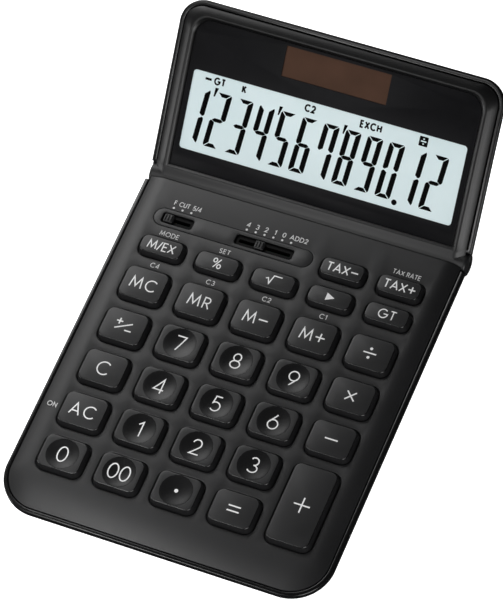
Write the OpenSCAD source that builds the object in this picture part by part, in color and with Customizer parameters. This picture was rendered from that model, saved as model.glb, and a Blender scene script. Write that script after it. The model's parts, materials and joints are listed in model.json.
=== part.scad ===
// Desk calculator: a flat base with 31 keys and two slide switches, and a display that tilts on a barrel hinge.

/* [Base body] */
// Overall width of base and display
body_w = 109; // [105:1:120]
// Distance from the bottom key row's centre to the front edge
front_reach = 20.5; // [18:0.5:26]
// Corner radius at the front of the base
front_corner_r = 13.5; // [12:0.5:16]
// Height of the flat key deck above the table
deck_z = 8.6; // [8.4:0.1:9.4]
// Height of the top of the side rim
rim_top_z = 6.9; // [6.6:0.1:7.2]
// How far the underside is drawn in from the widest wall
undercut = 5.5; // [3:0.5:7]
// Height of the rubber feet
foot_h = 0.8; // [0.5:0.1:1.2]
// Wall thickness of the housings
wall = 1.2; // [1:0.1:1.4]

/* [Keys] */
// Column pitch
key_pitch_x = 19.08; // [18.8:0.02:20]
// Row pitch of the main block
key_pitch_y = 15.62; // [15.4:0.02:17]
// Distance from the memory row to the function row
function_row_step = 14.17; // [13.5:0.01:15]
// Distance from the memory row to the tax row
tax_row_step = 24.47; // [24:0.01:26]
// Height of the key tops above the deck
key_proud = 2; // [1.6:0.1:2.4]
// Width of a key where it leaves the deck
key_w = 15; // [14:0.1:15.4]
// Depth of a main key where it leaves the deck
key_d = 12; // [11:0.1:12.4]
// Depth of a small function key
small_key_d = 7.2; // [6.6:0.1:7.6]
// How far the key top is drawn in from its foot, all round
key_bevel = 0.55; // [0.3:0.05:0.8]
// Clearance between a key and its hole
key_gap = 0.25; // [0.2:0.01:0.3]
// Travel of a key
key_travel = 1.2; // [0.8:0.1:1.2]
// Depth of the finger dish in a number key
dish_depth = 0.45; // [0.3:0.05:0.6]
// Diameter of the finger dish
dish_d = 10.6; // [9:0.1:10.8]

/* [Slide switches] */
// Distance between two switch positions
switch_step = 3.02; // [2.8:0.01:3.2]
// Centre of the rounding switch's first position
rounding_x = -40.8; // [-41.5:0.1:-40]
// Centre of the decimal switch's first position
decimal_x = -15.65; // [-16.5:0.05:-15]
// The decimal switch's position as shown, counted from 0
decimal_position = 2; // [0:1:5]
// Height of a switch knob above the deck
knob_proud = 0.7; // [0.4:0.1:1]

/* [Display] */
// Angle of the display above flat
tilt = 42; // [30:1:50]
// Length of the display from the hinge axis to its top edge
display_len = 58.7; // [57:0.1:62]
// Corner radius at the top of the display
display_corner_r = 8; // [7.5:0.5:12]
// Distance from the bottom key row's centre to the hinge axis
hinge_y = 103.7; // [103:0.1:106]
// Height of the hinge axis above the table
hinge_z = 4.6; // [4.4:0.1:5]
// Radius of the hinge barrel
barrel_r = 3.8; // [3.6:0.1:3.9]
// Clearance between barrel and base
barrel_gap = 0.3; // [0.2:0.05:0.4]
// Radius of the hinge pins
pin_r = 1; // [0.8:0.1:1.1]
// Visible width of the liquid crystal panel
lcd_w = 92.4; // [88:0.1:93]
// Visible height of the liquid crystal panel
lcd_d = 25.8; // [24:0.1:26]
// Visible width of the solar cell
solar_w = 35.2; // [30:0.1:40]
// Visible height of the solar cell
solar_d = 9.8; // [8:0.1:10]

/* [Hidden] */
$fn = 48;

// Colours
MATTE_BLACK = [0.16, 0.16, 0.17];
GLOSS_BLACK = [0.04, 0.04, 0.05];
KEY_BLACK = [0.12, 0.12, 0.13];
STEEL = [0.75, 0.76, 0.78];
BOARD_GREEN = [0.08, 0.32, 0.2];
GOLD = [0.85, 0.68, 0.3];
SILICONE = [0.82, 0.84, 0.82];
RUBBER = [0.1, 0.1, 0.1];
RIBBON = [0.8, 0.45, 0.12];
LCD_TINT = [0.82, 0.9, 0.92];
SOLAR_BROWN = [0.27, 0.17, 0.12];

EPS = 0.01;
FAR = 400;
half_w = body_w / 2;
front_y = -front_reach;

// Heights in the base
shell_z = foot_h;
floor_z = shell_z + wall;
waist_z = rim_top_z - 2;
shelf_z = rim_top_z - 1.5;
rim_t = 1.5;
seam_gap = 0.25;
skirt_inset = rim_t + seam_gap;
skirt_bottom_z = rim_top_z - 1;
slope_z = rim_top_z + 0.2;
deck_under_z = deck_z - wall;
side_slope_w = 7.5;
front_slope_w = 11.5;
deck_corner_r = 6;
key_top_z = deck_z + key_proud;
cavity_inset = undercut + 1.4;

// Back of the base: a hollow that follows the barrel
hollow_r = barrel_r + barrel_gap;
base_rear_y = hinge_y - 2;
deck_rear_y = hinge_y - 2.9;
cavity_rear_y = hinge_y - hollow_r - wall;

// Key stack
flange_t = 0.6;
flange_reach = 0.6;
flange_top_z = deck_under_z - 0.05;
flange_z = flange_top_z - flange_t;
key_hollow_top_z = deck_z + 0.6;
key_foot_corner_r = 3;
key_top_corner_r = 2.3;
plunger_r = 1;
plunger_z = 6.4;
board_t = 1;
board_top_z = plunger_z - 1.8;
board_z = board_top_z - board_t;
membrane_t = 0.4;
dome_ring_h = 1.15;
small_key_bevel = 0.6;

// Key places: column and row to x and y
memory_row_y = 4 * key_pitch_y;
function_row_y = memory_row_y + function_row_step;
tax_row_y = memory_row_y + tax_row_step;
function column_x(c) = (c - 2) * key_pitch_x;
function row_y(r) = r * key_pitch_y;
plus_y = key_pitch_y / 2;
plus_d = key_d + key_pitch_y;
// Every key as [x, y, foot depth]
KEY_PLACES = concat(
    [for (r = [0:4]) for (c = [0:4]) if (c < 4 || r > 1) [column_x(c), row_y(r), key_d]],
    [[column_x(4), plus_y, plus_d]],
    [for (c = [0:4]) [column_x(c), function_row_y, small_key_d]],
    [for (c = [3:4]) [column_x(c), tax_row_y, small_key_d]]
);

// Slide switches, in a pill-shaped bezel
bezel_x0 = -45.8;
bezel_x1 = 8.3;
bezel_d = 6.3;
bezel_y = hinge_y - 15.9;
slot_d = 3.3;
slot_lead = 2.1;
slot_trail = 1.7;
slot_depth = 0.9;
stem_slot_d = 1.3;
knob_len = 3.2;
knob_d = 2.9;
stem_len = 1.8;
stem_d = 0.9;
rounding_last_x = rounding_x + 2 * switch_step;
decimal_last_x = decimal_x + 5 * switch_step;
decimal_now_x = decimal_x + decimal_position * switch_step;

// Feet
foot_r = 4;
foot_sink = 0.3;
foot_x = 41;

// Fasteners
boss_r = 1.9;
screw_r = 0.8;
screw_head_r = 1.7;
screw_head_h = 0.6;
counterbore_r = 1.95;
boss_x = 1.5 * key_pitch_x;
BOSSES = [for (y = [-12.5, 3.5 * key_pitch_y, hinge_y - 8.5]) for (s = [-1, 1]) [s * boss_x, y]];
boss_foot_z = floor_z + 0.6;
board_front_y = -9;
board_rear_y = hinge_y - 11.5;
board_half_w = 49;
support_r = 1.5;
SUPPORTS = [for (y = [1.5, 2.5]) for (s = [-1, 1]) [s * boss_x, y * key_pitch_y]];

// Button cell and its door
cell_r = 5.8;
cell_h = 3;
cell_x = key_pitch_x / 2;
cell_y = 2.5 * key_pitch_y;
door_t = 0.65;
door_len = 27;
door_d = 16;
door_x = cell_x - 4.5;
door_screw_x = cell_x - 13.5;
cell_z = shell_z + door_t;

// Display, in its own flat frame: origin on the hinge axis, Y to the top edge, Z out of the screen
d_rim_top = 1.8;
d_waist = 0.3;
d_shell = -(hinge_z - shell_z);
d_floor = d_shell + wall;
d_shelf = 0.8;
d_slope = 1.9;
d_ridge = 3.5;
d_ridge_inset = 4.5;
lens_top = 2.6;
lens_t = 1;
lens_half_w = 48.1;
lens_y0 = 4.4;
lens_y1 = 53.2;
lens_r = 7;
plate_z = lens_top - lens_t - 0.5;
lcd_y0 = 11.1;
solar_y0 = 42.3;
barrel_bore_r = barrel_r - 1;
barrel_half_w = 54;
d_cavity_y0 = 5.4;
D_BOSSES = [for (y = [7.4, 47]) for (s = [-1, 1]) [s * 40, y]];
d_board_z = -1.9;
d_board_t = 0.8;
d_board_y0 = 9.7;
d_board_len = 40.5;
d_board_w = 92;

// Hinge knuckles on the base, inside notches in the barrel
knuckle_x = 33;
knuckle_w = 6;
knuckle_r = barrel_bore_r - 0.25;
knuckle_clear = 0.4;
washer_t = 0.35;
web_w = 2.6;
pin_run_gap = 0.05;
arm_t = 2;
arm_angle = 210;
open_more = 8;
notch_start = 174;
notch_end = 280;
pin_len = knuckle_w + 2 * (knuckle_clear + web_w);

// Ribbon cable, wound round the axis inside the barrel
ribbon_w = 10;
ribbon_t = 0.2;
ribbon_z = 3.3;
ribbon_outer_r = 2.2;
ribbon_inner_r = 1.6;
ribbon_slot_h = 1;

// Moves the whole object so that its bounding box is centred over the origin
rear_most_y = hinge_y + display_len * cos(tilt) - d_waist * sin(tilt);
shift_y = -(front_y + rear_most_y) / 2;

// ---------- shared shapes ----------

// Square at y = 0, round corners at y = len, every side but the square one drawn in by inset
module tongue(half, len, r, inset = 0) {
    translate([-(half - inset), 0])
        square([2 * (half - inset), len - r]);
    translate([-(half - r), 0])
        square([2 * (half - r), len - inset]);
    for (s = [-1, 1])
        translate([s * (half - r), len - r])
            circle(r - inset);
}

module rounded_rect(w, d, r) {
    square([w - 2 * r, d], center = true);
    square([w, d - 2 * r], center = true);
    for (sx = [-1, 1]) for (sy = [-1, 1])
        translate([sx * (w / 2 - r), sy * (d / 2 - r)])
            circle(r);
}

module pill(x0, x1, d) {
    translate([x0 + d / 2, -d / 2])
        square([x1 - x0 - d, d]);
    for (x = [x0 + d / 2, x1 - d / 2])
        translate([x, 0])
            circle(d / 2);
}

module slab(z0, z1)
    translate([0, 0, z0])
        linear_extrude(z1 - z0)
            children();

// A section drawn in (Y, Z), run along X
module along_x(x0, x1)
    translate([x0, 0, 0])
        rotate([90, 0, 90])
            linear_extrude(x1 - x0)
                children();

// Pie slice from angle a0 to a1, for cutting rings
module sector(r, a0, a1) {
    steps = 6;
    polygon(concat([[0, 0]], [for (i = [0:steps]) let (a = a0 + (a1 - a0) * i / steps) 2 * r * [cos(a), sin(a)]]));
}

module ring_arc(r_out, r_in, a0, a1)
    intersection() {
        difference() {
            circle(r_out);
            circle(r_in);
        }
        sector(r_out, a0, a1);
    }

// Outline of the base at a given inset; it is square at y_rear
module base_outline(inset, y_rear = base_rear_y)
    translate([0, y_rear])
        mirror([0, 1])
            tongue(half_w, y_rear - front_y, front_corner_r, inset);

// Outline of the flat deck, drawn in by extra
module deck_outline(extra = 0)
    translate([0, deck_rear_y])
        mirror([0, 1])
            tongue(half_w - side_slope_w, deck_rear_y - front_y - front_slope_w, deck_corner_r, extra);

module barrel_space()
    translate([0, hinge_y, hinge_z])
        along_x(-half_w - 1, half_w + 1)
            circle(hollow_r);

module in_place()
    translate([0, shift_y, 0])
        children();

module display_place()
    in_place()
        translate([0, hinge_y, hinge_z])
            rotate([tilt, 0, 0])
                children();

// ---------- base ----------

module upper_housing() color(MATTE_BLACK) in_place() {
    difference() {
        union() {
            hull() {
                slab(slope_z, slope_z + EPS) base_outline(skirt_inset, deck_rear_y);
                slab(deck_z - EPS, deck_z) deck_outline();
            }
            slab(skirt_bottom_z, slope_z) base_outline(skirt_inset, deck_rear_y);
        }
        upper_cavity();
        slab(skirt_bottom_z - 1, deck_z + 1) upper_openings();
        barrel_space();
    }
    for (p = BOSSES) translate([p[0], p[1], 0]) difference() {
        translate([0, 0, boss_foot_z])
            cylinder(r = boss_r, h = boss_top_z(p[1]) - boss_foot_z);
        translate([0, 0, boss_foot_z - 1])
            cylinder(r = screw_r, h = 4.5);
    }
}

// A boss ends inside the skin above it, which slopes down towards the front
function boss_top_z(y) = y < board_front_y ? deck_under_z - 0.3 : deck_under_z + 0.2;

module upper_cavity() {
    inset = skirt_inset + wall + 0.2;
    slab(skirt_bottom_z - 1, skirt_bottom_z + 0.2) base_outline(inset, cavity_rear_y);
    hull() {
        slab(skirt_bottom_z + 0.1, skirt_bottom_z + 0.2) base_outline(inset, cavity_rear_y);
        slab(deck_under_z - EPS, deck_under_z)
            intersection() {
                deck_outline(0.6);
                base_outline(0, cavity_rear_y);
            }
    }
}

module upper_openings() {
    for (k = KEY_PLACES) translate([k[0], k[1]])
        rounded_rect(key_w + 2 * key_gap, k[2] + 2 * key_gap, key_foot_corner_r + key_gap);
    translate([0, bezel_y])
        pill(bezel_x0, bezel_x1, bezel_d);
}

module lower_housing() color(GLOSS_BLACK) in_place() {
    difference() {
        union() {
            hull() {
                slab(shell_z, shell_z + EPS) base_outline(undercut);
                slab(waist_z - EPS, waist_z) base_outline(0);
            }
            slab(waist_z, rim_top_z) base_outline(0);
        }
        lower_cavity();
        slab(shelf_z, rim_top_z + 1) base_outline(rim_t, base_rear_y + 1);
        barrel_space();
        foot_places() cylinder(r = foot_r, h = 2 * foot_sink, center = true);
        for (p = BOSSES) screw_hole(p, shell_z);
        translate([door_x, cell_y])
            slab(shell_z - 1, shell_z + door_t) rounded_rect(door_len + 0.2, door_d + 0.2, 2.1);
        translate([cell_x, cell_y, 0])
            cylinder(r = cell_r + 0.2, h = floor_z + 1);
        translate([door_screw_x, cell_y, 0])
            cylinder(r = screw_r, h = floor_z + 1);
    }
    for (p = BOSSES) difference() {
        translate([p[0], p[1], floor_z - EPS])
            cylinder(r = boss_r + 0.3, h = boss_foot_z - floor_z + EPS);
        screw_hole(p, shell_z);
    }
    for (p = SUPPORTS) translate([p[0], p[1], floor_z - EPS])
        cylinder(r = support_r, h = board_z - floor_z + EPS);
    for (s = [-1, 1]) hinge_arm(s * knuckle_x);
}

module lower_cavity() {
    hull() {
        slab(floor_z, floor_z + EPS) base_outline(cavity_inset, cavity_rear_y);
        slab(shelf_z, shelf_z + EPS) base_outline(rim_t + 0.1, cavity_rear_y);
    }
    translate([-ribbon_w / 2 - 0.5, cavity_rear_y - 1, ribbon_z - 0.2])
        cube([ribbon_w + 1, 4, ribbon_t + 0.4]);
}

module screw_hole(p, z)
    translate([p[0], p[1], z]) {
        translate([0, 0, -1])
            cylinder(r = counterbore_r, h = 1 + screw_head_h + 0.1);
        cylinder(r = screw_r + 0.15, h = 4);
    }

// Arm and disc that carry the display: the pin runs in the disc's bore
module hinge_arm(x)
    translate([0, hinge_y, hinge_z])
        along_x(x - knuckle_w / 2, x + knuckle_w / 2)
            difference() {
                union() {
                    circle(knuckle_r);
                    rotate(arm_angle)
                        translate([0, -arm_t / 2])
                            square([hollow_r + 1, arm_t]);
                }
                circle(pin_r + pin_run_gap);
            }

module foot_places()
    for (sx = [-1, 1]) for (y = [-8, hinge_y - 11])
        translate([sx * foot_x, y, shell_z])
            children();

module rubber_feet() color(RUBBER) in_place()
    foot_places()
        translate([0, 0, -foot_h])
            cylinder(r = foot_r, h = foot_h + foot_sink);

module housing_screws() color(STEEL) in_place()
    for (p = BOSSES) screw(p, shell_z + 0.1, 4.2);

// Screw with its head downwards at z and its shank going up by len
module screw(p, z, len)
    translate([p[0], p[1], z])
        difference() {
            union() {
                cylinder(r = screw_head_r, h = screw_head_h);
                cylinder(r = screw_r, h = len);
            }
            for (a = [0, 90]) rotate(a)
                cube([2, 0.45, 0.6], center = true);
        }

module switch_bezel() color(MATTE_BLACK) in_place() translate([0, bezel_y])
    difference() {
        union() {
            slab(deck_under_z, deck_z) pill(bezel_x0 + 0.08, bezel_x1 - 0.08, bezel_d - 0.16);
            slab(flange_z + 0.2, deck_under_z) pill(bezel_x0 - 0.8, bezel_x1 + 0.8, bezel_d + 1.6);
        }
        switch_slot(rounding_x, rounding_last_x);
        switch_slot(decimal_x, decimal_last_x);
    }

module switch_slot(first_x, last_x) {
    slab(deck_z - slot_depth, deck_z + 1)
        translate([(first_x - slot_lead + last_x + slot_trail) / 2, 0])
            rounded_rect(last_x - first_x + slot_lead + slot_trail, slot_d, 0.5);
    slab(flange_z - 1, deck_z)
        translate([(first_x + last_x) / 2, 0])
            square([last_x - first_x + stem_len + 0.5, stem_slot_d], center = true);
}

// Both knobs: a grip in the slot, and a stem down to the wiper
module switch_knob(x) color(KEY_BLACK) in_place() translate([x, bezel_y])
    difference() {
        union() {
            slab(deck_z - slot_depth + 0.1, deck_z + knob_proud) rounded_rect(knob_len, knob_d, 0.4);
            slab(board_top_z + 0.5, deck_z - slot_depth + 0.2) square([stem_len, stem_d], center = true);
        }
        for (i = [-1:1]) translate([i * 0.9, 0, deck_z + knob_proud])
            cube([0.35, knob_d + 1, 0.5], center = true);
    }

module rounding_switch_knob() switch_knob(rounding_x);
module decimal_switch_knob() switch_knob(decimal_now_x);

// Sprung contact carried by a knob's stem, which slides on the board
module switch_wiper(x) color(GOLD) in_place() translate([x, bezel_y])
    difference() {
        slab(board_top_z + 0.05, board_top_z + 0.75) rounded_rect(3.4, 2.4, 0.3);
        slab(board_top_z + 0.5, board_top_z + 1) square([stem_len, stem_d], center = true);
        for (s = [-1, 1]) translate([s * 0.8, 0, board_top_z])
            cube([0.6, 3, 0.5], center = true);
    }

module rounding_switch_wiper() switch_wiper(rounding_x);
module decimal_switch_wiper() switch_wiper(decimal_now_x);

module main_board() color(BOARD_GREEN) in_place()
    slab(board_z, board_top_z) difference() {
        translate([0, (board_front_y + board_rear_y) / 2])
            rounded_rect(2 * board_half_w, board_rear_y - board_front_y, 3);
        for (p = BOSSES) translate(p)
            circle(boss_r + 0.4);
        translate([cell_x, cell_y])
            circle(cell_r + 0.6);
    }

module controller_chip() color(RUBBER) in_place()
    translate([-boss_x + 8, cell_y])
        slab(board_z - 1.1, board_z) rounded_rect(11, 11, 0.5);

// Silicone sheet with a ring-shaped dome round each plunger
module key_membrane() color(SILICONE) in_place() {
    slab(board_top_z, board_top_z + membrane_t) difference() {
        union() {
            translate([-board_half_w + 1, board_front_y + 1])
                square([2 * board_half_w - 2, function_row_y - board_front_y + 4.5]);
            translate([column_x(3) - 9, function_row_y])
                square([key_pitch_x + 18, tax_row_y - function_row_y + 4.5]);
        }
        for (p = BOSSES) translate(p)
            circle(boss_r + 0.4);
    }
    for (k = KEY_PLACES) translate([k[0], k[1]])
        slab(board_top_z + membrane_t - EPS, board_top_z + membrane_t + dome_ring_h) difference() {
            circle(plunger_r + 1);
            circle(plunger_r + 0.3);
        }
}

module battery_cell() color(STEEL) in_place()
    translate([cell_x, cell_y, cell_z]) {
        cylinder(r = cell_r - 0.5, h = 0.3);
        translate([0, 0, 0.3 - EPS])
            cylinder(r = cell_r, h = cell_h - 0.3 + EPS);
    }

// Side strip against the can and leaf across the cell's top
module battery_contacts() color(GOLD) in_place() translate([cell_x, cell_y]) {
    translate([cell_r, -2, floor_z])
        cube([0.2, 4, board_z - floor_z]);
    translate([-cell_r - 0.4, -1.2, cell_z + cell_h])
        cube([cell_r, 2.4, 0.12]);
}

module battery_door() color(GLOSS_BLACK) in_place() translate([door_x, cell_y])
    slab(shell_z, shell_z + door_t) difference() {
        rounded_rect(door_len, door_d, 2);
        translate([door_screw_x - door_x, 0])
            circle(screw_r + 0.1);
    }

module battery_door_screw() color(STEEL) in_place()
    translate([door_screw_x, cell_y, 0]) difference() {
        union() {
            translate([0, 0, shell_z - 0.4]) cylinder(r = 1.5, h = 0.4);
            translate([0, 0, shell_z - EPS]) cylinder(r = screw_r, h = 2.2);
        }
        translate([0, 0, shell_z - 0.4]) cube([1.8, 0.4, 0.4], center = true);
    }

module ribbon_base_end() color(RIBBON) in_place() {
    start_y = board_rear_y - 6;
    end_y = hinge_y - sqrt(pow(ribbon_outer_r, 2) - pow(hinge_z - ribbon_z, 2)) + 0.05;
    translate([-ribbon_w / 2, start_y, ribbon_z])
        cube([ribbon_w, end_y - start_y, ribbon_t]);
    translate([0, hinge_y, hinge_z])
        along_x(-ribbon_w / 2, ribbon_w / 2)
            ring_arc(ribbon_outer_r, ribbon_outer_r - ribbon_t, 212, 300);
}

// ---------- keys ----------

// Cap with bevelled sides, a skirt in the hole, a flange under the deck and a plunger
module key(x, y, depth, dished = false) color(KEY_BLACK) in_place() translate([x, y]) {
    bevel = depth < key_d ? small_key_bevel : key_bevel;
    difference() {
        union() {
            hull($fn = 32) {
                slab(deck_z, deck_z + EPS) rounded_rect(key_w, depth, key_foot_corner_r);
                slab(key_top_z - EPS, key_top_z)
                    rounded_rect(key_w - 2 * bevel, depth - 2 * bevel, key_top_corner_r);
            }
            slab(flange_top_z - EPS, deck_z + EPS) rounded_rect(key_w, depth, key_foot_corner_r);
            slab(flange_z, flange_top_z)
                rounded_rect(key_w + 2 * flange_reach, depth + 2 * flange_reach, key_foot_corner_r);
        }
        slab(flange_z - 1, key_hollow_top_z) rounded_rect(key_w - 2.4, depth - 2.4, 1.8);
        if (dished) dish();
    }
    translate([0, 0, plunger_z])
        cylinder(r = plunger_r, h = key_hollow_top_z - plunger_z + EPS);
}

module dish() {
    r = (pow(dish_d / 2, 2) + pow(dish_depth, 2)) / (2 * dish_depth);
    translate([0, 0, key_top_z - dish_depth + r])
        sphere(r, $fn = 96);
}

module main_key(c, r) key(column_x(c), row_y(r), key_d);
module number_key(c, r) key(column_x(c), row_y(r), key_d, true);
module function_key(c) key(column_x(c), function_row_y, small_key_d);
module tax_key(c) key(column_x(c), tax_row_y, small_key_d);

module key_mode() function_key(0);
module key_percent() function_key(1);
module key_square_root() function_key(2);
module key_backspace() function_key(3);
module key_grand_total() function_key(4);
module key_tax_minus() tax_key(3);
module key_tax_plus() tax_key(4);
module key_memory_clear() main_key(0, 4);
module key_memory_recall() main_key(1, 4);
module key_memory_minus() main_key(2, 4);
module key_memory_plus() main_key(3, 4);
module key_divide() main_key(4, 4);
module key_sign_change() main_key(0, 3);
module key_7() number_key(1, 3);
module key_8() number_key(2, 3);
module key_9() number_key(3, 3);
module key_multiply() main_key(4, 3);
module key_clear() main_key(0, 2);
module key_4() number_key(1, 2);
module key_5() number_key(2, 2);
module key_6() number_key(3, 2);
module key_minus() main_key(4, 2);
module key_all_clear() main_key(0, 1);
module key_1() number_key(1, 1);
module key_2() number_key(2, 1);
module key_3() number_key(3, 1);
module key_plus() key(column_x(4), plus_y, plus_d);
module key_0() number_key(0, 0);
module key_00() number_key(1, 0);
module key_point() number_key(2, 0);
module key_equals() main_key(3, 0);

// ---------- display ----------

module display_outline(inset, y0 = 0)
    difference() {
        tongue(half_w, display_len, display_corner_r, inset);
        translate([-half_w - 1, y0 - FAR])
            square([body_w + 2, FAR]);
    }

// Barrel section, upper half (side = 1) or lower half (side = -1)
module barrel_half(side)
    intersection() {
        difference() {
            circle(barrel_r);
            circle(barrel_bore_r);
        }
        translate([-FAR / 2, side > 0 ? 0 : -FAR])
            square([FAR, FAR]);
    }

// Solid walls inside the barrel that hold the pins
module barrel_webs(side)
    for (s = [-1, 1]) for (d = [-1, 1]) {
        x = s * knuckle_x + d * (knuckle_w / 2 + knuckle_clear + web_w / 2);
        along_x(x - web_w / 2, x + web_w / 2)
            intersection() {
                difference() {
                    circle(barrel_bore_r + EPS);
                    circle(pin_r);
                }
                translate([-FAR / 2, side > 0 ? 0 : -FAR])
                    square([FAR, FAR]);
            }
    }

// Room for the knuckle arms and the ribbon, in the barrel's front-bottom side
module barrel_notches() {
    reach = knuckle_w / 2 + knuckle_clear;
    for (x = [-knuckle_x, knuckle_x])
        along_x(x - reach, x + reach)
            notch_section();
    along_x(-ribbon_w / 2 - 1, ribbon_w / 2 + 1)
        notch_section();
}

module notch_section()
    intersection() {
        circle(barrel_r + 0.5);
        sector(barrel_r, notch_start - tilt, notch_end - tilt);
    }

module barrel_ends(side)
    for (x = [-barrel_half_w, barrel_half_w - wall])
        along_x(x, x + wall)
            intersection() {
                circle(barrel_r);
                translate([-FAR / 2, side > 0 ? 0 : -FAR])
                    square([FAR, FAR]);
            }

module display_back_cover() color(GLOSS_BLACK) display_place() {
    difference() {
        union() {
            hull() {
                slab(d_shell, d_shell + EPS) display_outline(undercut);
                slab(d_waist - EPS, d_waist) display_outline(0);
            }
            slab(d_waist, d_rim_top) display_outline(0);
        }
        hull() {
            slab(d_floor, d_floor + EPS) display_outline(cavity_inset, d_cavity_y0);
            slab(d_shelf, d_shelf + EPS) display_outline(rim_t + 0.1, d_cavity_y0);
        }
        slab(d_shelf, d_rim_top + 1) display_outline(rim_t, d_cavity_y0 - 6);
        along_x(-half_w - 1, half_w + 1) circle(barrel_bore_r);
        barrel_notches();
        translate([-ribbon_w / 2 - 0.5, 0, -2])
            cube([ribbon_w + 1, d_cavity_y0 + 1, ribbon_slot_h]);
        for (p = D_BOSSES) screw_hole(p, d_shell);
        translate([-FAR / 2, -FAR / 2, 0])
            cube([FAR, FAR / 2 + barrel_r, FAR]);
        rear_trim();
    }
    difference() {
        union() {
            along_x(-barrel_half_w, barrel_half_w) barrel_half(-1);
            barrel_ends(-1);
        }
        barrel_notches();
        translate([-ribbon_w / 2 - 0.5, 0, -2])
            cube([ribbon_w + 1, d_cavity_y0 + 1, ribbon_slot_h]);
    }
    barrel_webs(-1);
}

// Below the axis, nothing in front of the barrel's own round
module rear_trim()
    along_x(-half_w - 1, half_w + 1)
        difference() {
            translate([-1, -FAR / 2])
                square([barrel_r + 1 - 0.8, FAR / 2]);
            circle(barrel_r - EPS);
            translate([1.2, d_shell])
                square([10, 10]);
        }

module display_frame() color(MATTE_BLACK) display_place() {
    difference() {
        union() {
            hull() {
                slab(d_slope, d_slope + EPS) display_outline(skirt_inset, 2);
                slab(d_ridge - EPS, d_ridge) display_outline(d_ridge_inset, 2);
            }
            slab(plate_z, d_slope) display_outline(skirt_inset, barrel_r - 0.5);
            along_x(-barrel_half_w, barrel_half_w) barrel_half(1);
            barrel_ends(1);
            along_x(-barrel_half_w + 1.5, barrel_half_w - 1.5) strip_section();
        }
        along_x(-barrel_half_w + wall, barrel_half_w - wall) circle(barrel_bore_r);
        barrel_notches();
        lens_pocket();
        slab(plate_z - 1, lens_top) screen_openings(0.1);
    }
    barrel_webs(1);
    for (p = D_BOSSES) translate([p[0], p[1], 0]) difference() {
        translate([0, 0, d_floor])
            cylinder(r = boss_r, h = plate_z - d_floor + EPS);
        translate([0, 0, d_floor - 1])
            cylinder(r = screw_r, h = 4);
    }
}

// Strip between the barrel and the lens
module strip_section()
    polygon([[0, barrel_bore_r + 0.2], [0, barrel_r], [1, barrel_r - 0.1], [lens_y0 - 0.3, d_ridge - 0.2],
        [lens_y0 + 0.4, lens_top + 0.1], [lens_y0 + 0.4, plate_z], [2.8, plate_z]]);

module lens_outline(grow = 0)
    translate([0, lens_y0 - grow])
        tongue(lens_half_w + grow, lens_y1 - lens_y0 + 2 * grow, lens_r + grow);

module lens_pocket() {
    slab(lens_top - lens_t, lens_top) lens_outline(0.1);
    hull() {
        slab(lens_top - EPS, lens_top) lens_outline(0.1);
        slab(d_ridge + EPS, d_ridge + 2 * EPS) lens_outline(1);
    }
}

// Openings over the liquid crystal panel and the solar cell
module screen_openings(grow = 0) {
    translate([0, lcd_y0 + lcd_d / 2])
        rounded_rect(lcd_w + 2 * grow, lcd_d + 2 * grow, 1.2);
    translate([0, solar_y0 + solar_d / 2])
        square([solar_w + 2 * grow, solar_d + 2 * grow], center = true);
}

module display_lens() color(GLOSS_BLACK) display_place()
    slab(lens_top - lens_t, lens_top) difference() {
        lens_outline();
        screen_openings(0.1);
    }

module lcd_panel() color(LCD_TINT) display_place() translate([0, lcd_y0 + lcd_d / 2]) {
    slab(-0.2, plate_z) square([lcd_w + 2.4, lcd_d + 2.2], center = true);
    slab(plate_z - EPS, lens_top - 0.15) rounded_rect(lcd_w, lcd_d, 1.1);
}

// Conductive rubber strip between the panel's edge and its board
module lcd_connector_strip() color(RUBBER) display_place()
    translate([-lcd_w / 2 + 1, lcd_y0 + lcd_d - 2.2, d_board_z + d_board_t])
        cube([lcd_w - 2, 2, -0.2 - d_board_z - d_board_t]);

module display_board() color(BOARD_GREEN) display_place()
    slab(d_board_z, d_board_z + d_board_t) difference() {
        translate([0, d_board_y0 + d_board_len / 2])
            rounded_rect(d_board_w, d_board_len, 4);
        for (p = D_BOSSES) translate(p)
            circle(boss_r + 0.3);
    }

module solar_cell() color(SOLAR_BROWN) display_place() translate([0, solar_y0 + solar_d / 2]) {
    slab(0.1, plate_z) square([solar_w + 1.6, solar_d + 1.2], center = true);
    slab(plate_z - EPS, lens_top - 0.2) square([solar_w, solar_d], center = true);
}

module display_screws() color(STEEL) display_place()
    for (p = D_BOSSES) screw(p, d_shell + 0.1, 3.6);

module hinge_pins() color(STEEL) display_place()
    for (s = [-1, 1])
        along_x(s * knuckle_x - pin_len / 2, s * knuckle_x + pin_len / 2)
            circle(pin_r);

module hinge_washers() color(STEEL) display_place()
    for (s = [-1, 1]) for (d = [-1, 1]) {
        x = s * knuckle_x + d * (knuckle_w / 2 + knuckle_clear - washer_t / 2);
        along_x(x - washer_t / 2, x + washer_t / 2)
            difference() {
                circle(knuckle_r - 0.1);
                circle(pin_r);
            }
    }

module ribbon_display_end() color(RIBBON) display_place() {
    along_x(-ribbon_w / 2, ribbon_w / 2)
        ring_arc(ribbon_inner_r, ribbon_inner_r - ribbon_t, 160, 270);
    translate([-ribbon_w / 2, -EPS, -ribbon_inner_r])
        cube([ribbon_w, d_board_y0 + EPS, ribbon_t]);
}

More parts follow.
